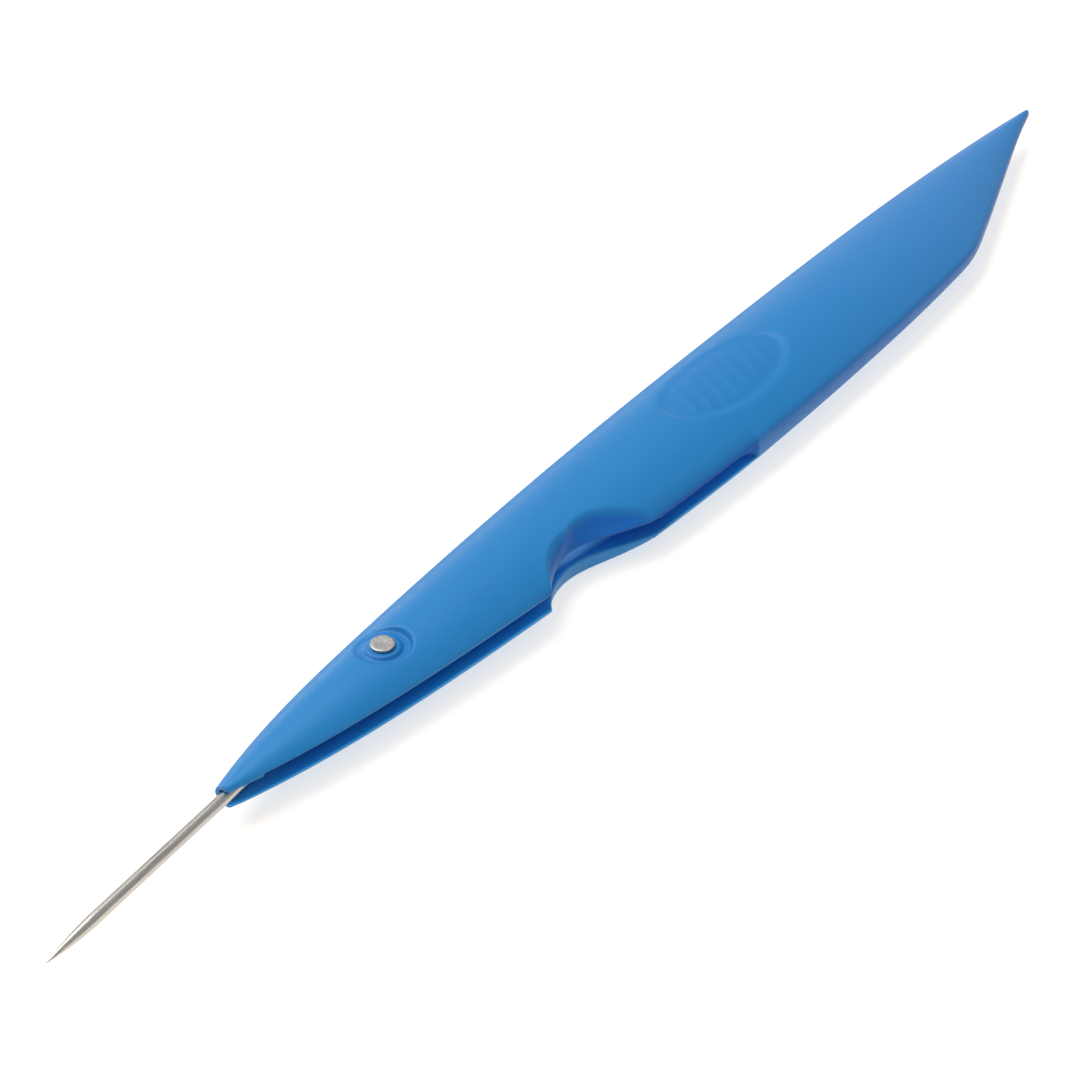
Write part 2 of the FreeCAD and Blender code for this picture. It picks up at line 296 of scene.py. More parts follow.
# noise textures as scale, detail and stretch along the axes, and bumps as depth and strength
FLOW_NOISE = (60, 2, (0.5, 1, 1))
SHEEN_NOISE = (900, 4, (1, 1, 1))
GRAIN_NOISE = (5200, 3, (1, 1, 1))
GRAIN_BUMP = (0.00001, 0.35)
WAVE_NOISE = (420, 2, (1, 1, 1))
WAVE_BUMP = (0.00004, 0.2)
NEEDLE_NOISE = (1, 4, (250, 9000, 9000))
NEEDLE_BUMP = (0.00001, 0.4)
RIVET_NOISE = (4200, 5, (1, 1, 1))
RIVET_BUMP = (0.00002, 0.5)

# floor, light and camera
FLOOR_HALF = 3
SKY_STRENGTH = 0.46
KEY_PLACE = (-0.08, 0.47, 0.84)
KEY_TARGET = (0, 0, 0)
KEY_SIZE = (0.85, 0.75)
KEY_POWER = 9.2
CAMERA_PLACE = (-0.26517, -0.15615, 0.23287)
CAMERA_TARGET = (-0.01992, 0.00406, 0.00400)
CAMERA_LENS = 100
CAMERA_SENSOR = 36
CAMERA_NEAR = 0.01


# ---------------------------------------------------------------- small helpers

def place(points):
    """Points in millimetres from the pivot, as metres in the shared frame."""
    return PIVOT + MM * np.asarray(points, float)


def ramp(t):
    """Smooth rise from 0 to 1 as t goes from 0 to 1."""
    t = np.clip(t, 0, 1)
    return t * t * (3 - 2 * t)


def coming_in(x, stretch):
    """Smooth rise from 0 at the start of a stretch to 1 at its end."""
    start, end = stretch
    return ramp((x - start) / (end - start))


def soft_min(a, b, width):
    """Lower of two heights, rounded where they cross."""
    share = np.clip(0.5 + 0.5 * (b - a) / width, 0, 1)
    return b + (a - b) * share - width * share * (1 - share)


def curve_through(points):
    """Smooth curve through a few outline points, as many points close together."""
    p = np.array(points, float)
    t = np.concatenate([[0], np.cumsum(np.hypot(*np.diff(p, axis=0).T))])
    h = np.diff(t)
    count = len(p)
    rows = np.eye(count)
    sides = np.zeros((count, 2))
    sides[0] = np.polyfit(t[:4] - t[0], p[:4], 3)[-2]
    sides[-1] = np.polyfit(t[-4:] - t[-1], p[-4:], 3)[-2]
    for i in range(1, count - 1):
        rows[i, i - 1:i + 2] = h[i], 2 * (h[i - 1] + h[i]), h[i - 1]
        sides[i] = 3 * (h[i] / h[i - 1] * (p[i] - p[i - 1]) + h[i - 1] / h[i] * (p[i + 1] - p[i]))
    slopes = np.linalg.solve(rows, sides)
    u = np.linspace(0, 1, CURVE_POINTS)[:, None]
    stretches = []
    for i in range(count - 1):
        stretches.append((1 + 2 * u) * (1 - u) ** 2 * p[i] + u * (1 - u) ** 2 * h[i] * slopes[i]
                         + u * u * (3 - 2 * u) * p[i + 1] + u * u * (u - 1) * h[i] * slopes[i + 1])
    return np.concatenate(stretches)


LINES = {name: curve_through(points) for name, points in [
    ("spine", SPINE_LINE), ("edge", EDGE_LINE), ("crest", CREST_LINE), ("spine_half", SPINE_HALF_LINE),
    ("edge_half", EDGE_HALF_LINE), ("scoop", SCOOP_LINE), ("dish_rim", [(x, y) for x, y, z in DISH_SECTIONS]),
    ("dish_top", [(x, z) for x, y, z in DISH_SECTIONS])]}


def on_line(name, x):
    """Second coordinate of a line at x."""
    return float(np.interp(x, LINES[name][:, 0], LINES[name][:, 1]))


def arc_height(y, low, top, high):
    """Height at y of the circle through three (y, height) points, the middle one topmost."""
    (ay, az), (by, bz), (cy, cz) = low, top, high
    d = 2 * (ay * (bz - cz) + by * (cz - az) + cy * (az - bz))
    a2, b2, c2 = ay * ay + az * az, by * by + bz * bz, cy * cy + cz * cz
    centre_y = (a2 * (bz - cz) + b2 * (cz - az) + c2 * (az - bz)) / d
    centre_z = (a2 * (cy - by) + b2 * (ay - cy) + c2 * (by - ay)) / d
    radius = math.hypot(ay - centre_y, az - centre_z)
    return centre_z + np.sqrt(np.maximum(radius ** 2 - (y - centre_y) ** 2, 0))


# ---------------------------------------------------------------- the handle's shape

def section(x, sunk=0.0):
    """Corners of the lens-shaped section at x."""
    s = {name: on_line(name, x) for name in ("spine", "edge")}
    s["crest"] = on_line("crest", x) - sunk
    s["spine_half"] = on_line("spine_half", x) - sunk * SIDE_SHARE
    s["edge_half"] = on_line("edge_half", x) - sunk * SIDE_SHARE
    s["spine_in"] = s["spine"] - SPINE_BULGE * s["spine_half"]
    s["edge_in"] = s["edge"] + EDGE_BULGE * s["edge_half"]
    s["spine_in"] = max(s["spine_in"], s["edge_in"] + s["spine_half"])
    return s


def cheek_height(s, y):
    """Height of the bare cheek of section s at y."""
    edge = (s["edge_in"], s["edge_half"])
    crest = ((s["spine_in"] + s["edge_in"]) / 2, s["crest"])
    spine = (s["spine_in"], s["spine_half"])
    return arc_height(y, edge, crest, spine)


def ring_height(x, y, cheek):
    """Round recess with the boss in it, sunk as deep where the cheek falls away."""
    r = np.hypot(x, y)
    floor = soft_min(cheek - RING_DEPTH, RING_FLOOR_Z, RING_SOFTNESS)
    boss = soft_min(cheek - BOSS_SUNK, BOSS_TOP_Z, BOSS_SOFTNESS)
    wall = np.maximum(r - RING_RADIUS, 0) * RING_WALL_SLOPE
    return floor + (boss - floor) * coming_in(r, BOSS_EDGE) + wall


def dish_height(x, y):
    """Dish that climbs from the slot to the crest of the upper cheek."""
    lip_y = on_line("scoop", x)
    reach = on_line("dish_rim", x) - lip_y
    width = (reach + math.hypot(reach, DISH_LEAST_WIDTH)) / 2
    climb = (y - lip_y) / width
    hollow = np.where(climb < 1, np.maximum(climb, 0) ** DISH_HOLLOW, 1 + DISH_HOLLOW * (climb - 1))
    return DISH_FOOT_Z + (on_line("dish_top", x) - DISH_FOOT_Z) * hollow


def panel_gap(x, y):
    """Distance inside the rim of the oval panel, less than 0 outside it."""
    dx, dy = x - PANEL_X, y - PANEL_Y
    u = dx * math.cos(PANEL_TURN) + dy * math.sin(PANEL_TURN)
    v = -dx * math.sin(PANEL_TURN) + dy * math.cos(PANEL_TURN)
    e = np.hypot(u / PANEL_HALF_LENGTH, v / PANEL_HALF_WIDTH)
    steep = np.hypot(u / PANEL_HALF_LENGTH ** 2, v / PANEL_HALF_WIDTH ** 2)
    return (1 - e) * np.maximum(e, PANEL_MIDDLE_SHARE) / np.maximum(steep, LEAST_DIVISOR)


def bar_height(x, y, gap):
    """Low slanting grip bars in the oval panel."""
    dx, dy = x - PANEL_X, y - PANEL_Y
    across = dx * math.sin(BAR_TURN) - dy * math.cos(BAR_TURN)
    pitch = BAR_PITCH * math.sin(BAR_TURN)
    nearest = np.clip(np.round(across / pitch), -(BAR_COUNT // 2), BAR_COUNT // 2)
    flank = coming_in(np.abs(across - nearest * pitch), BAR_FLANK)
    return BAR_HEIGHT * flank * coming_in(gap, BAR_END)


def outside_height(x, s, y, upper):
    """Height of a finished cheek at y: the bare cheek with its ring, panel and scoop."""
    z = cheek_height(s, y)
    if abs(x) < RING_RADIUS + REACH_MARGIN:
        z = soft_min(z, ring_height(x, y, z), RING_SOFTNESS)
    if abs(x - PANEL_X) < PANEL_HALF_LENGTH + REACH_MARGIN:
        gap = panel_gap(x, y)
        if upper:
            sunk = cheek_height(section(x, PANEL_DEPTH), y) + bar_height(x, y, gap)
            z = z + (sunk - z) * coming_in(gap, PANEL_WALL)
        else:
            floor = PANEL_FLOOR_Z + np.maximum(-gap, 0) * RING_WALL_SLOPE
            z = soft_min(z, floor, LOWER_PANEL_SOFTNESS)
    if upper and DISH_SECTIONS[0][0] < x < DISH_SECTIONS[-1][0]:
        z = soft_min(z, dish_height(x, y), DISH_SOFTNESS)
    elif SCOOP_LINE[0][0] < x < SCOOP_LINE[-1][0]:
        wall = SLOT_HALF + (y - on_line("scoop", x)) * LOWER_WALL_SLOPE
        z = soft_min(z, wall, LOWER_WALL_SOFTNESS)
    return z


def scoop_y(x):
    """How far the scoop's cut reaches in at x, far outside the handle where there is no scoop."""
    return on_line("scoop", x) if SCOOP_LINE[0][0] < x < SCOOP_LINE[-1][0] else NO_CUT_Y


def slot_back_y(x, lip_y):
    """Where the slot's back wall lies at x."""
    slope = math.radians(180 - CLOSED_TURN)
    back = EYE_RADIUS + WIRE_RADIUS + FIT_GAP
    if x > 0:
        back = -x * math.tan(slope) - (EYE_RADIUS - WIRE_RADIUS - FIT_GAP) / math.cos(slope)
    if abs(x) < EYE_ROOM:
        back = max(back, math.sqrt(EYE_ROOM ** 2 - x * x))
    past = (x - (SLOT_END_X - SLOT_END_ROUND)) / SLOT_END_ROUND
    if past > 0:
        back = lip_y + (back - lip_y) * math.sqrt(max(1 - past * past, 0))
    return back


def edge_arc_y(s, z):
    """Y of the rounded edge of section s at height z."""
    bulge = EDGE_BULGE * s["edge_half"]
    radius = (s["edge_half"] ** 2 + bulge ** 2) / (2 * bulge)
    return s["edge"] + radius - np.sqrt(np.maximum(radius ** 2 - z * z, 0))


def lip_roll(x):
    """How far the upper lip is rolled over at x: more and more towards the tail, but not in the scoop."""
    rolled = np.clip((x - ROLL_START_X) / (ROLL_FULL_X - ROLL_START_X), 0, 1)
    return float(rolled * (1 - coming_in(x, SCOOP_START) * coming_in(x, SCOOP_END)))


def outside_path(x, s, upper, lowest, lip_y=None):
    """Rounded spine and cheek of half a section, as far as the edge, where a lip is rolled over."""
    bulge = s["spine"] - s["spine_in"]
    radius = (s["spine_half"] ** 2 + bulge ** 2) / (2 * bulge)
    turn = np.linspace(0, math.atan2(s["spine_half"], radius - bulge), SPINE_POINTS)
    spine = np.stack([s["spine"] - radius + radius * np.cos(turn), radius * np.sin(turn)], 1)
    y = np.linspace(s["spine_in"], s["edge_in"], CHEEK_POINTS)
    z = outside_height(x, s, y, upper)
    if upper and lip_y is not None:
        rolled = lip_roll(x)
        roll = lowest + (y - lip_y) * LIP_SLOPE + LIP_RISE * (1 - rolled)
        z = soft_min(z, roll, ROLL_LEAST_SOFTNESS + ROLL_SOFTNESS * rolled)
    z = -soft_min(-z, np.full_like(z, -lowest), LIP_FACE)
    z[0] = s["spine_half"]
    return [spine, np.stack([y, z], 1)]


def closed_path(x, s, upper):
    """Half a section with no slot."""
    paths = outside_path(x, s, upper, CLOSED_FACE_SHARE * s["edge_half"])
    heights = np.array(CLOSED_FACE_STEPS) * paths[-1][-1, 1]
    for high, low in zip(heights, heights[1:]):
        z = np.linspace(high, low, CLOSED_FACE_POINTS)
        paths.append(np.stack([edge_arc_y(s, z), z], 1))
    return paths


def slotted_path(x, s, upper):
    """Half a section with the slot, its lip and its inner face."""
    cut_y = scoop_y(x)
    rebate_y = s["edge"] + REBATE_DEPTH
    half = SLOT_HALF - NOSE_NARROWING * float(coming_in(x, NOSE_NARROWING_START))
    open_lip = max(edge_arc_y(s, half), cut_y)
    share = 0.0
    if upper:
        room = ramp((rebate_y - open_lip) / REBATE_HEIGHT)
        share = float(room * coming_in(x, REBATE_START)) * (1 - lip_roll(x))
    lip_z = half + REBATE_HEIGHT * share
    lip_y = max(float(edge_arc_y(s, lip_z)), cut_y)
    back_y = slot_back_y(x, lip_y)
    step_y = min(max(rebate_y, lip_y + LEDGE_LEAST), lip_y + LEDGE_MOST_SHARE * (back_y - lip_y))
    paths = outside_path(x, s, upper, lip_z + LIP_FACE, lip_y)
    z = np.linspace(paths[-1][-1, 1], lip_z, LIP_FACE_POINTS)
    paths.append(np.stack([edge_arc_y(s, z), z], 1))
    for path in paths:
        path[:, 0] = np.maximum(path[:, 0], cut_y)
    foot_y = step_y + STEP_SLANT * (1 - share) * min(back_y - step_y, STEP_REACH)
    corners = [(lip_y, lip_z), (step_y, lip_z), (foot_y, half), (back_y, half), (back_y, 0)]
    t = np.linspace(0, 1, INNER_POINTS)[:, None]
    wire_centre = np.array([EYE_RADIUS, 0])
    mouth = MOUTH_RADIUS + (WIRE_RADIUS - MOUTH_RADIUS) * (x - NOSE_X) / MOUTH_DEPTH
    for start, end in zip(corners, corners[1:]):
        path = np.array(start) * (1 - t) + np.array(end) * t
        land = coming_in(np.hypot(x, path[:, 0]), LAND_EDGE)
        path[:, 1] = np.minimum(path[:, 1], lip_z + (half - LAND_HEIGHT - lip_z) * land)
        away = np.hypot(*(path - wire_centre).T)
        push = np.maximum(mouth / np.maximum(away, LEAST_DIVISOR), 1)[:, None]
        paths.append(wire_centre + (path - wire_centre) * push)
    return paths


def blurred(fine, amount):
    """Evenly spaced points of half a section, blurred along it as part of the whole closed section."""
    reach = int(BLUR_REACH * amount / FINE_STEP)
    weight = np.exp(-0.5 * (np.arange(-reach, reach + 1) * FINE_STEP / amount) ** 2)
    weight /= weight.sum()
    mirror = np.array([1, -1])
    padded = np.concatenate([fine[reach:0:-1] * mirror, fine, fine[-2:-reach - 2:-1] * mirror])
    return np.stack([np.convolve(padded[:, k], weight, "valid") for k in (0, 1)], 1)


def rounded(paths, edge_softness, lip_softness=0.0, fade=1.0):
    """The paths joined, their corners rounded, most at the spine, with SPANS steps to each stretch."""
    whole = np.concatenate([paths[0]] + [path[1:] for path in paths[1:]])
    run = np.concatenate([[0], np.cumsum(np.hypot(*np.diff(whole, axis=0).T))])
    marks = run[np.concatenate([[0], np.cumsum([len(path) - 1 for path in paths])])]
    fine_run = np.arange(0, run[-1] + FINE_STEP / 2, FINE_STEP)
    fine_run[-1] = run[-1]
    fine = np.stack([np.interp(fine_run, run, whole[:, k]) for k in (0, 1)], 1)
    softness = np.maximum(coming_in(fine_run - marks[1], SPINE_SOFT_REACH), edge_softness)
    near_lip = np.exp(-((fine_run - marks[3]) / LIP_SOFT_REACH) ** 2)
    softness = np.maximum(softness, lip_softness * near_lip)[:, None] * fade
    smooth = blurred(fine, CORNER_SPREAD) * (1 - softness) + blurred(fine, SOFT_SPREAD) * softness
    stops = np.concatenate([np.linspace(a, b, n, endpoint=False) for a, b, n in zip(marks, marks[1:], SPANS)]
                           + [marks[-1:]])
    points = np.stack([np.interp(stops, fine_run, smooth[:, k]) for k in (0, 1)], 1)
    points[0, 1] = points[-1, 1] = 0
    return points


def drawn_in(points, distance, count):
    """The points moved in by distance, square to the section, fading out past the first count of them."""
    along = np.gradient(points, axis=0)
    along[0] = along[-1] = (0, 1)
    if points[-1, 0] > points[-2, 0]:
        along[-1] = (0, -1)
    normal = np.stack([-along[:, 1], along[:, 0]], 1)
    normal /= np.maximum(np.hypot(*normal.T), LEAST_LENGTH)[:, None]
    fade = 1 - ramp((np.arange(len(points)) - count) / DRAWN_FADE_SPANS)
    moved = points + normal * distance * fade[:, None]
    moved[:, 1] = np.maximum(moved[:, 1], 0)
    moved[0, 1] = moved[-1, 1] = 0
    return moved


def half_loop(x, upper):
    """Points of half a section at x."""
    s = section(x)
    closed = float(coming_in(x, SLOT_CLOSING))
    points = 0
    if closed < 1:
        mouth_softness = MOUTH_SOFTNESS * float(coming_in(x, MOUTH_SOFTENING))
        lip_softness = LOWER_LIP_SOFTNESS
        if upper:
            lip_softness = UPPER_LIP_SOFTNESS * float(coming_in(x, LIP_SOFTENING))
        points = points + (1 - closed) * rounded(slotted_path(x, s, upper), mouth_softness, lip_softness)
    if closed > 0:
        edge_softness = float(coming_in(x, CLOSED_SOFTENING))
        fade = 1 - float(coming_in(x, TAIL_SHARPENING))
        points = points + closed * rounded(closed_path(x, s, upper), edge_softness, fade=fade)
    return points


def stations():
    """Places along X, closer together where there is detail, and how far each is drawn in at the ends."""
    inner = np.concatenate([np.linspace(a, b, max(round((b - a) / step), 1), endpoint=False)
                            for a, b, step in STATION_STEPS])
    turn = np.linspace(0, math.pi / 2, END_STEPS)
    nose = NOSE_X + NOSE_ROUND * (1 - np.sin(turn[::-1]))
    tail = TAIL_X - TAIL_ROUND * (1 - np.sin(turn))
    places = np.concatenate([nose, inner, TAIL_STATIONS, tail])
    drawn = np.zeros(len(places))
    drawn[:len(nose)] = NOSE_ROUND * (1 - np.cos(turn[::-1]))
    drawn[-len(tail):] = TAIL_ROUND * (1 - np.cos(turn))
    return places, drawn


def grid_mesh(name, rings):
    """Mesh of closed rings of points joined by quads, with a face over each end."""
    rings = np.asarray(rings)
    count, around = rings.shape[:2]
    index = np.arange(count * around).reshape(count, around)
    nxt = np.roll(index, -1, axis=1)
    quads = np.stack([index[:-1], nxt[:-1], nxt[1:], index[1:]], 2).reshape(-1, 4)
    faces = quads.tolist() + [index[0][::-1].tolist(), index[-1].tolist()]
    mesh = bpy.data.meshes.new(name)
    mesh.from_pydata(place(rings.reshape(-1, 3)).tolist(), [], faces)
    bm = bmesh.new()
    bm.from_mesh(mesh)
    bmesh.ops.triangulate(bm, faces=[f for f in bm.faces if len(f.verts) > 4])
    bmesh.ops.recalc_face_normals(bm, faces=bm.faces)
    bm.to_mesh(mesh)
    bm.free()
    mesh.shade_smooth()
    thing = bpy.data.objects.new(name, mesh)
    bpy.context.scene.collection.objects.link(thing)
    return thing


def recess_painted_shade(x, points):
    """Painted shade on the upper half of a section, stronger the further each point lies down in the dish,
    the ring or the oval panel.
    """
    s = section(x)
    outside = np.arange(len(points)) <= CHEEK_END
    all_y = points[:, 0]
    depth = cheek_height(s, np.clip(all_y, s["edge_in"], s["spine_in"])) - points[:, 1]
    if DISH_SECTIONS[0][0] < x < DISH_SECTIONS[-1][0]:
        tone = ramp(depth / DISH_SHADE_DEPTH) * (all_y < on_line("dish_rim", x) + DISH_SHADE_MARGIN)
    elif abs(x - PANEL_X) < PANEL_SHADE_REACH:
        tone = PANEL_SHADE * ramp(depth / PANEL_SHADE_DEPTH) * (panel_gap(x, all_y) > -PANEL_SHADE_MARGIN)
    elif abs(x) < RING_SHADE_REACH:
        tone = RING_SHADE * ramp(depth / RING_SHADE_DEPTH) * (np.hypot(x, all_y) < RING_SHADE_REACH)
    else:
        tone = np.zeros(len(points))
    return tone * outside


def rolled_lip_painted_shade(x, points):
    """Painted shade on the upper lip where it is rolled over, less and less away from the edge."""
    past = np.maximum(points[:, 0] - max(on_line("edge", x), scoop_y(x)), 0) / ROLLED_LIP_SHADE_WIDTH
    strength = ROLLED_LIP_SHADE * lip_roll(x) * float(coming_in(x, ROLLED_LIP_SHADE_START)) * (x < SLOT_END_X)
    return strength * np.exp(-past ** 2)


def edge_painted_shade(x, count):
    """Painted shade on the narrow edge behind the slot."""
    past = coming_in(np.arange(count) - CHEEK_END, EDGE_SHADE_SPANS)
    return EDGE_SHADE * past * float(coming_in(x, EDGE_SHADE_START))


def lip_line_painted_shade(x, count):
    """Painted shade in a thin line along the very edge of the slot's upper lip."""
    past = (np.arange(count) - CHEEK_END - LIP_LINE_SPANS) / LIP_LINE_SPANS
    strength = LIP_LINE_SHADE * float(coming_in(x, LIP_LINE_START) * coming_in(x, SLOT_TONE_END))
    return strength * np.exp(-past ** 2)


def slot_painted_light(x, count):
    """Painted light on the inner faces of the slot: 1 on them, 0 outside it."""
    inside = np.clip((np.arange(count) - LIP_END) / SLOT_LIGHT_SPANS, 0, 1)
    return inside * float(coming_in(x, SLOT_TONE_END))


def lower_lip_painted_light(x, points):
    """Painted light on the inner face of the thin lower lip, for light coming through it, less and less
    further in.
    """
    index = np.arange(len(points))
    inside = (index > LIT_SPANS[0]) & (index < LIT_SPANS[1])
    depth = np.maximum(points[:, 0] - points[LIP_END, 0], 0)
    scoop_start = coming_in(x, LIT_SCOOP_START)
    in_scoop = float(scoop_start * coming_in(x, LIT_SCOOP_END))
    front = float(scoop_start * coming_in(x, LIT_FRONT_END))
    strength = LIT_LIP_TONE * float(coming_in(x, LIT_LIP_END))
    strength *= 1 - LIT_SCOOP_LOSS * in_scoop * (1 - LIT_FRONT_GAIN * front)
    strength *= 1 - LIT_REAR_LOSS * float(coming_in(x, LIT_REAR_START))
    return inside * np.exp(-(depth / (LIT_LIP_WIDTH + LIT_FRONT_WIDTH * front)) ** LIT_FALL) * strength


def around_loop(upper, lower):
    """Values at the points of the two halves of a section, once round its closed loop."""
    return np.concatenate([upper, lower[-2:0:-1]])


def painted_light_and_shade(x, upper, lower):
    """Painted shade and painted light on the plastic round the loop at x, by the names of their attributes.
    """
    none = np.zeros(len(upper))
    edge = edge_painted_shade(x, len(upper))
    # painted shade in the dish, ring and panel, on the rolled upper lip and on the edge behind the slot
    deep = np.maximum.reduce([recess_painted_shade(x, upper), rolled_lip_painted_shade(x, upper), edge])
    slot = slot_painted_light(x, len(upper))
    return {"hollow": around_loop(deep, edge),
            "lip": around_loop(lip_line_painted_shade(x, len(upper)), none),
            "slot": around_loop(slot, slot),
            "lit_lip": around_loop(none, lower_lip_painted_light(x, lower))}


def make_handle():
    """The moulded handle with soft edges, slot, scoop, ring and panels."""
    rings = []
    tones = []
    for x, distance in zip(*stations()):
        halves = []
        for upper in (True, False):
            points = half_loop(x, upper)
            if distance > 0 and x < 0:
                points = drawn_in(points, distance, DRAWN_END)
            elif distance > 0:
                middle = np.array([(points[0, 0] + points[-1, 0]) / 2, 0])
                points = middle + (points - middle) * (1 - distance / TAIL_HALF)
            halves.append(points)
        loop_y = around_loop(halves[0][:, 0], halves[1][:, 0])
        loop_z = around_loop(halves[0][:, 1], -halves[1][:, 1])
        rings.append(np.stack([np.full_like(loop_y, x), loop_y, loop_z], 1))
        tones.append(painted_light_and_shade(x, *halves))
    thing = grid_mesh("handle_body", rings)
    for name in tones[0]:
        values = np.concatenate([tone[name] for tone in tones])
        thing.data.attributes.new(name, "FLOAT", "POINT").data.foreach_set("value", values)
    return thing


# ---------------------------------------------------------------- needle and rivet

def make_needle():
    """Pointed wire with its root bent into an eye, swept from the point."""
    shoulder = -(NEEDLE_REACH - POINT_LENGTH)
    bulge = POINT_FLAT_RADIUS + POINT_FULLNESS * (WIRE_RADIUS - POINT_FLAT_RADIUS)
    middle = (shoulder - POINT_LENGTH / 2, bulge)
    all_x = np.concatenate([np.linspace(-NEEDLE_REACH, shoulder, POINT_STEPS),
                            np.linspace(shoulder, 0, SHANK_STEPS)[1:-1]])
    taper = arc_height(all_x, (-NEEDLE_REACH, POINT_FLAT_RADIUS), middle, (shoulder, WIRE_RADIUS))
    radii = np.where(all_x < shoulder, taper, WIRE_RADIUS)
    stops = [(-NEEDLE_REACH + POINT_CAP_STEP, EYE_RADIUS, 0, POINT_FLAT_RADIUS * POINT_CAP_SHARE)]
    stops += [(x, EYE_RADIUS, 0, radius) for x, radius in zip(all_x, radii)]
    for turn in np.linspace(0, math.radians(EYE_TURN), EYE_STEPS):
        stops.append((EYE_RADIUS * math.sin(turn), EYE_RADIUS * math.cos(turn), -turn, WIRE_RADIUS))
    end_x, end_y, end_heading, _ = stops[-1]
    for step in EYE_END_STEPS:
        drawn = EYE_END_DRAW * (1 - math.cos(step * math.pi / 8 * EYE_END_TURN))
        stops.append((end_x, end_y, end_heading, WIRE_RADIUS - drawn))
    around = np.linspace(0, 2 * math.pi, WIRE_SIDES, endpoint=False)[:, None]
    rings = []
    for x, y, heading, radius in stops:
        side = np.array([-math.sin(heading), math.cos(heading), 0])
        up = np.array([0, 0, 1])
        rings.append(np.array([x, y, 0]) + radius * (np.cos(around) * side + np.sin(around) * up))
    return grid_mesh("needle_wire", rings)


def make_rivet():
    """Rivet with both heads set over, slightly uneven from the setting tool."""
    top = BOSS_TOP_Z + HEAD_HEIGHT
    flat = HEAD_RADIUS - HEAD_BEVEL
    turns = np.linspace(0, math.pi / 2, BEVEL_STEPS)
    profile = [(r, top - depth) for r, depth in HEAD_DISH]
    profile += [(flat + HEAD_BEVEL * math.sin(t), top - HEAD_BEVEL * (1 - math.cos(t))) for t in turns]
    profile += [(HEAD_RADIUS, BOSS_TOP_Z + HEAD_FOOT_HEIGHT), (HEAD_RADIUS - HEAD_FOOT_DRAW, BOSS_TOP_Z),
                (RIVET_RADIUS, BOSS_TOP_Z), (RIVET_RADIUS, PIN_HALF)]
    profile += [(r, -z) for r, z in profile[::-1]]
    around = np.linspace(0, 2 * math.pi, RIVET_SIDES, endpoint=False)
    uneven = HEAD_WAVE * (1 + np.sin(2 * around + HEAD_WAVE_TURN) * np.cos(5 * around))
    rings = []
    for r, z in profile:
        wavy = r * (1 - uneven * (r > RIVET_RADIUS))
        rings.append(np.stack([wavy * np.cos(around), wavy * np.sin(around), np.full_like(around, z)], 1))
    return grid_mesh("rivet_pin", rings)


# ---------------------------------------------------------------- materials

def new_material(name):
    """New material with its nodes, links and shader."""
    material = bpy.data.materials.new(name)
    material.use_nodes = True
    tree = material.node_tree
    return material, tree.nodes, tree.links, tree.nodes["Principled BSDF"]


def noise(nodes, links, scale, detail, stretch):
    """Noise texture in object space, stretched along the axes."""
    where = nodes.new("ShaderNodeTexCoord")
    mapping = nodes.new("ShaderNodeMapping")
    mapping.inputs["Scale"].default_value = stretch
    texture = nodes.new("ShaderNodeTexNoise")
    texture.inputs["Scale"].default_value = scale
    texture.inputs["Detail"].default_value = detail
    links.new(where.outputs["Object"], mapping.inputs["Vector"])
    links.new(mapping.outputs["Vector"], texture.inputs["Vector"])
    return texture.outputs["Fac"]


def spread(nodes, links, source, to_range=(0, 1), from_range=NOISE_RANGE):
    """A value taken from its own range, by default a noise texture's usual one, to another."""
    node = nodes.new("ShaderNodeMapRange")
    for end, value in zip(("From Min", "From Max", "To Min", "To Max"), (*from_range, *to_range)):
        node.inputs[end].default_value = value
    links.new(source, node.inputs["Value"])
    return node.outputs["Result"]


def mixed(nodes, links, factor, first, second):
    """Colour mixed from two by a factor."""
    node = nodes.new("ShaderNodeMix")
    node.data_type = "RGBA"
    links.new(factor, node.inputs["Factor"])
    for socket, value in ((node.inputs["A"], first), (node.inputs["B"], second)):
        if isinstance(value, tuple):
            socket.default_value = (*value, 1)
        else:
            links.new(value, socket)
    return node.outputs["Result"]


def bumped(nodes, links, height, distance, strength, below=None):
    """Bump from a height, on top of another bump if there is one."""
    node = nodes.new("ShaderNodeBump")
    node.inputs["Distance"].default_value = distance
    node.inputs["Strength"].default_value = strength
    links.new(height, node.inputs["Height"])
    if below is not None:
        links.new(below, node.inputs["Normal"])
    return node.outputs["Normal"]


def plastic():
    """Satin blue plastic, with a painted reflection that makes it greyer towards the tail, and the painted
    shade and painted light that are stored on the mesh.
    """
    material, nodes, links, shader = new_material("blue_plastic")
    flow = spread(nodes, links, noise(nodes, links, *FLOW_NOISE))
    colour = mixed(nodes, links, flow, *PLASTIC_COLOURS)
    where = nodes.new("ShaderNodeTexCoord")
    split = nodes.new("ShaderNodeSeparateXYZ")
    links.new(where.outputs["Object"], split.inputs["Vector"])
    # painted reflection, greyer towards the tail
    tailward = spread(nodes, links, split.outputs["X"], from_range=PLASTIC_TAILWARD)
    colour = mixed(nodes, links, tailward, colour, PLASTIC_TAIL_REFLECTION_COLOUR)
    # painted shade and painted light from the attributes on the mesh
    for name, painted_colour in PAINTED_SHADE_AND_LIGHT_COLOURS:
        tone = nodes.new("ShaderNodeAttribute")
        tone.attribute_name = name
        colour = mixed(nodes, links, tone.outputs["Fac"], colour, painted_colour)
    links.new(colour, shader.inputs["Base Color"])
    sheen = spread(nodes, links, noise(nodes, links, *SHEEN_NOISE), PLASTIC_ROUGHNESS)
    links.new(sheen, shader.inputs["Roughness"])
    shader.inputs["Specular IOR Level"].default_value = PLASTIC_SPECULAR
    grain = bumped(nodes, links, noise(nodes, links, *GRAIN_NOISE), *GRAIN_BUMP)
    wave = bumped(nodes, links, noise(nodes, links, *WAVE_NOISE), *WAVE_BUMP, below=grain)
    links.new(wave, shader.inputs["Normal"])
    return material


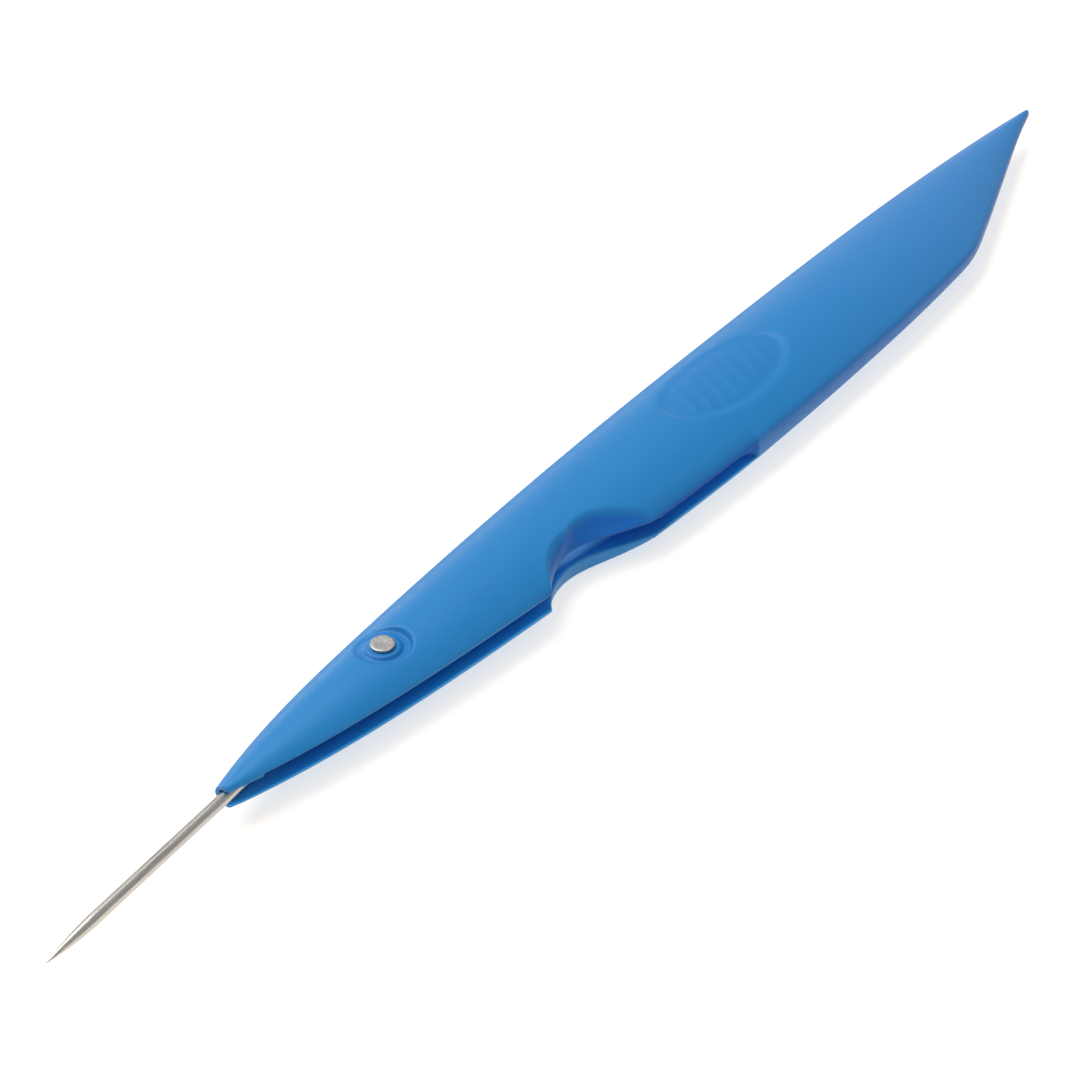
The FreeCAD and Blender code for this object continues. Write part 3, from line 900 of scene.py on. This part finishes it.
def steel(name, colours, roughness, texture, bump):
    """Bare steel whose colour, roughness and bump follow one noise texture."""
    material, nodes, links, shader = new_material(name)
    shader.inputs["Metallic"].default_value = 1
    grain = noise(nodes, links, *texture)
    colour = mixed(nodes, links, spread(nodes, links, grain), *colours)
    links.new(colour, shader.inputs["Base Color"])
    links.new(spread(nodes, links, grain, roughness), shader.inputs["Roughness"])
    links.new(bumped(nodes, links, grain, *bump), shader.inputs["Normal"])
    return material


def needle_steel():
    """Steel with fine streaks along the needle from grinding."""
    return steel("needle_steel", NEEDLE_COLOURS, NEEDLE_ROUGHNESS, NEEDLE_NOISE, NEEDLE_BUMP)


def rivet_steel():
    """Steel with an even, slightly worn grain."""
    return steel("rivet_steel", RIVET_COLOURS, RIVET_ROUGHNESS, RIVET_NOISE, RIVET_BUMP)


def floor_paper():
    """Bright paper for the object to lie on."""
    material, nodes, links, shader = new_material("floor_paper")
    shader.inputs["Base Color"].default_value = (*PAPER_COLOUR, 1)
    shader.inputs["Emission Color"].default_value = (1.0, 1.0, 1.0, 1)
    shader.inputs["Emission Strength"].default_value = PAPER_GLOW
    shader.inputs["Roughness"].default_value = PAPER_ROUGHNESS
    shader.inputs["Specular IOR Level"].default_value = PAPER_SPECULAR
    return material


# ---------------------------------------------------------------- the object

handle = make_handle()
handle.data.materials.append(plastic())
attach(handle, "handle")
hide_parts("handle")

needle = make_needle()
needle.data.materials.append(needle_steel())
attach(needle, "needle")
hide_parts("needle")

rivet = make_rivet()
rivet.data.materials.append(rivet_steel())
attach(rivet, "handle")
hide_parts("pivot_rivet")

# ---------------------------------------------------------------- floor, light and camera

floor_corners = [(-FLOOR_HALF, -FLOOR_HALF, 0), (FLOOR_HALF, -FLOOR_HALF, 0), (FLOOR_HALF, FLOOR_HALF, 0),
                 (-FLOOR_HALF, FLOOR_HALF, 0)]
floor_mesh = bpy.data.meshes.new("floor")
floor_mesh.from_pydata(floor_corners, [], [(0, 1, 2, 3)])
floor = bpy.data.objects.new("floor", floor_mesh)
bpy.context.scene.collection.objects.link(floor)
floor.data.materials.append(floor_paper())

world = bpy.data.worlds.new("studio")
world.use_nodes = True
background = world.node_tree.nodes["Background"]
background.inputs["Color"].default_value = (1.0, 1.0, 1.0, 1)
background.inputs["Strength"].default_value = SKY_STRENGTH
bpy.context.scene.world = world


def facing(where, target):
    """Turn of a light or a camera that looks from where it is at a target."""
    return (Vector(target) - Vector(where)).to_track_quat("-Z", "Y").to_euler()


key = bpy.data.lights.new("key", "AREA")
key.shape = "RECTANGLE"
key.size, key.size_y = KEY_SIZE
key.energy = KEY_POWER
key_light = bpy.data.objects.new("key", key)
key_light.location = KEY_PLACE
key_light.rotation_euler = facing(KEY_PLACE, KEY_TARGET)
bpy.context.scene.collection.objects.link(key_light)

camera_data = bpy.data.cameras.new("camera")
camera_data.lens = CAMERA_LENS
camera_data.sensor_width = CAMERA_SENSOR
camera_data.clip_start = CAMERA_NEAR
camera = bpy.data.objects.new("camera", camera_data)
camera.location = CAMERA_PLACE
camera.rotation_euler = facing(CAMERA_PLACE, CAMERA_TARGET)
bpy.context.scene.collection.objects.link(camera)
bpy.context.scene.camera = camera
bpy.context.scene.view_settings.view_transform = "Standard"
